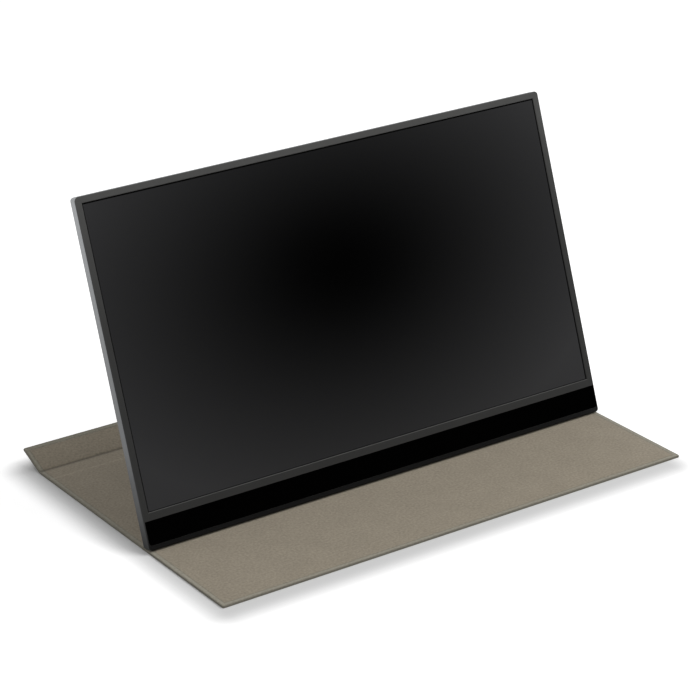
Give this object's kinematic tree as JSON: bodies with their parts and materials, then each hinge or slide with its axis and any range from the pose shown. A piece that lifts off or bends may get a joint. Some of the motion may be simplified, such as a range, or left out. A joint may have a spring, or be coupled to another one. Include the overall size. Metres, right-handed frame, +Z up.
{
  "type": "portable monitor with cover",
  "caption": "Slim portable monitor leaning back on a fold-out stand, set on its thin folding cover, whose rear flap rises behind it.",
  "frame": {"origin": "on the table, under the middle of the screen's lower front edge", "axes": "+X to the viewer's right along the width, +Y away from the viewer, +Z up"},
  "size_m": [0.3554, 0.2523, 0.2139],
  "materials": {
    "skin": "fine matt grain",
    "lining": "woven microfibre",
    "stiffener": "matt",
    "magnet": "plain",
    "stand_metal": "satin anodised",
    "pad_rubber": "matt",
    "hinge_steel": "satin",
    "screw_steel": "blackened",
    "washer_brass": "plain",
    "frame_plastic": "fine matt",
    "gloss_strip": "high gloss",
    "screen_film": "anti-glare",
    "cell_glass": "polished",
    "clear_guide": "clear",
    "white_film": "white",
    "tray_metal": "plain sheet",
    "lamps": "plain",
    "circuit_board": "solder mask",
    "black_plastic": "plain",
    "flat_cable": "film",
    "shell_metal": "satin anodised",
    "housing_plastic": "fine matt",
    "socket_steel": "bright",
    "switch_metal": "plain",
    "button_plastic": "fine matt"
  },
  "bodies": {
    "cover_panel": {"panel_skin": "skin", "panel_board": "stiffener", "panel_lining": "lining", "panel_magnets": "magnet"},
    "cover_spine": {"spine_skin": "skin", "spine_board": "stiffener", "spine_lining": "lining"},
    "cover_flap": {"flap_skin": "skin", "flap_board": "stiffener", "flap_lining": "lining", "flap_magnets": "magnet"},
    "stand": {"stand_plate": "stand_metal", "stand_pads": "pad_rubber", "stand_leaf_left": "hinge_steel", "stand_leaf_right": "hinge_steel", "stand_screws": "screw_steel"},
    "power_button": {"power_button": "button_plastic"},
    "menu_up_button": {"menu_up_button": "button_plastic"},
    "menu_down_button": {"menu_down_button": "button_plastic"},
    "screen": {"front_frame": "frame_plastic", "chin_strip": "gloss_strip", "front_polariser": "screen_film", "lcd_glass": "cell_glass", "optical_sheets": "white_film", "light_guide": "clear_guide", "reflector_sheet": "white_film", "panel_tray": "tray_metal", "lamp_strip": "lamps", "timing_board": "circuit_board", "display_ribbon": "flat_cable", "rear_shell": "shell_metal", "grip_plates": "hinge_steel", "rear_housing": "housing_plastic", "housing_screws": "screw_steel", "hinge_bracket_left": "hinge_steel", "hinge_bracket_right": "hinge_steel", "hinge_pin_left": "hinge_steel", "hinge_pin_right": "hinge_steel", "friction_washers": "washer_brass", "bracket_screws": "screw_steel", "main_board": "circuit_board", "shield_can": "tray_metal", "video_chip": "black_plastic", "board_screws": "screw_steel", "usb_c_socket_upper": "socket_steel", "usb_c_socket_lower": "socket_steel", "mini_hdmi_socket": "socket_steel", "audio_socket": "black_plastic", "side_board": "circuit_board", "key_switches": "switch_metal", "link_cable": "flat_cable", "speaker_left": "black_plastic", "speaker_right": "black_plastic"}
  },
  "joints": [
    {"name": "stand_lift", "type": "slide", "parent": "cover_panel", "child": "stand", "axis": [0, 0, 1], "range_m": [0, 0.25]},
    {"name": "screen_tilt", "type": "hinge", "parent": "stand", "child": "screen", "pos_m": [0, 0.01629, 0.0055], "axis": [-1, 0, 0], "range_deg": [-2, 53.3]},
    {"name": "spine_fold", "type": "hinge", "parent": "cover_panel", "child": "cover_spine", "pos_m": [0, 0.1305, 0.0015], "axis": [1, 0, 0], "range_deg": [0, 90]},
    {"name": "flap_fold", "type": "hinge", "parent": "cover_spine", "child": "cover_flap", "pos_m": [0, 0.1455, 0.0015], "axis": [1, 0, 0], "range_deg": [-22.6, 67.4]},
    {"name": "power_button_press", "type": "slide", "parent": "screen", "child": "power_button", "axis": [-1, 0, 0], "range_m": [0, 0.0004], "stiffness_N_per_m": 600},
    {"name": "menu_up_button_press", "type": "slide", "parent": "screen", "child": "menu_up_button", "axis": [-1, 0, 0], "range_m": [0, 0.0004], "stiffness_N_per_m": 600},
    {"name": "menu_down_button_press", "type": "slide", "parent": "screen", "child": "menu_down_button", "axis": [-1, 0, 0], "range_m": [0, 0.0004], "stiffness_N_per_m": 600}
  ]
}
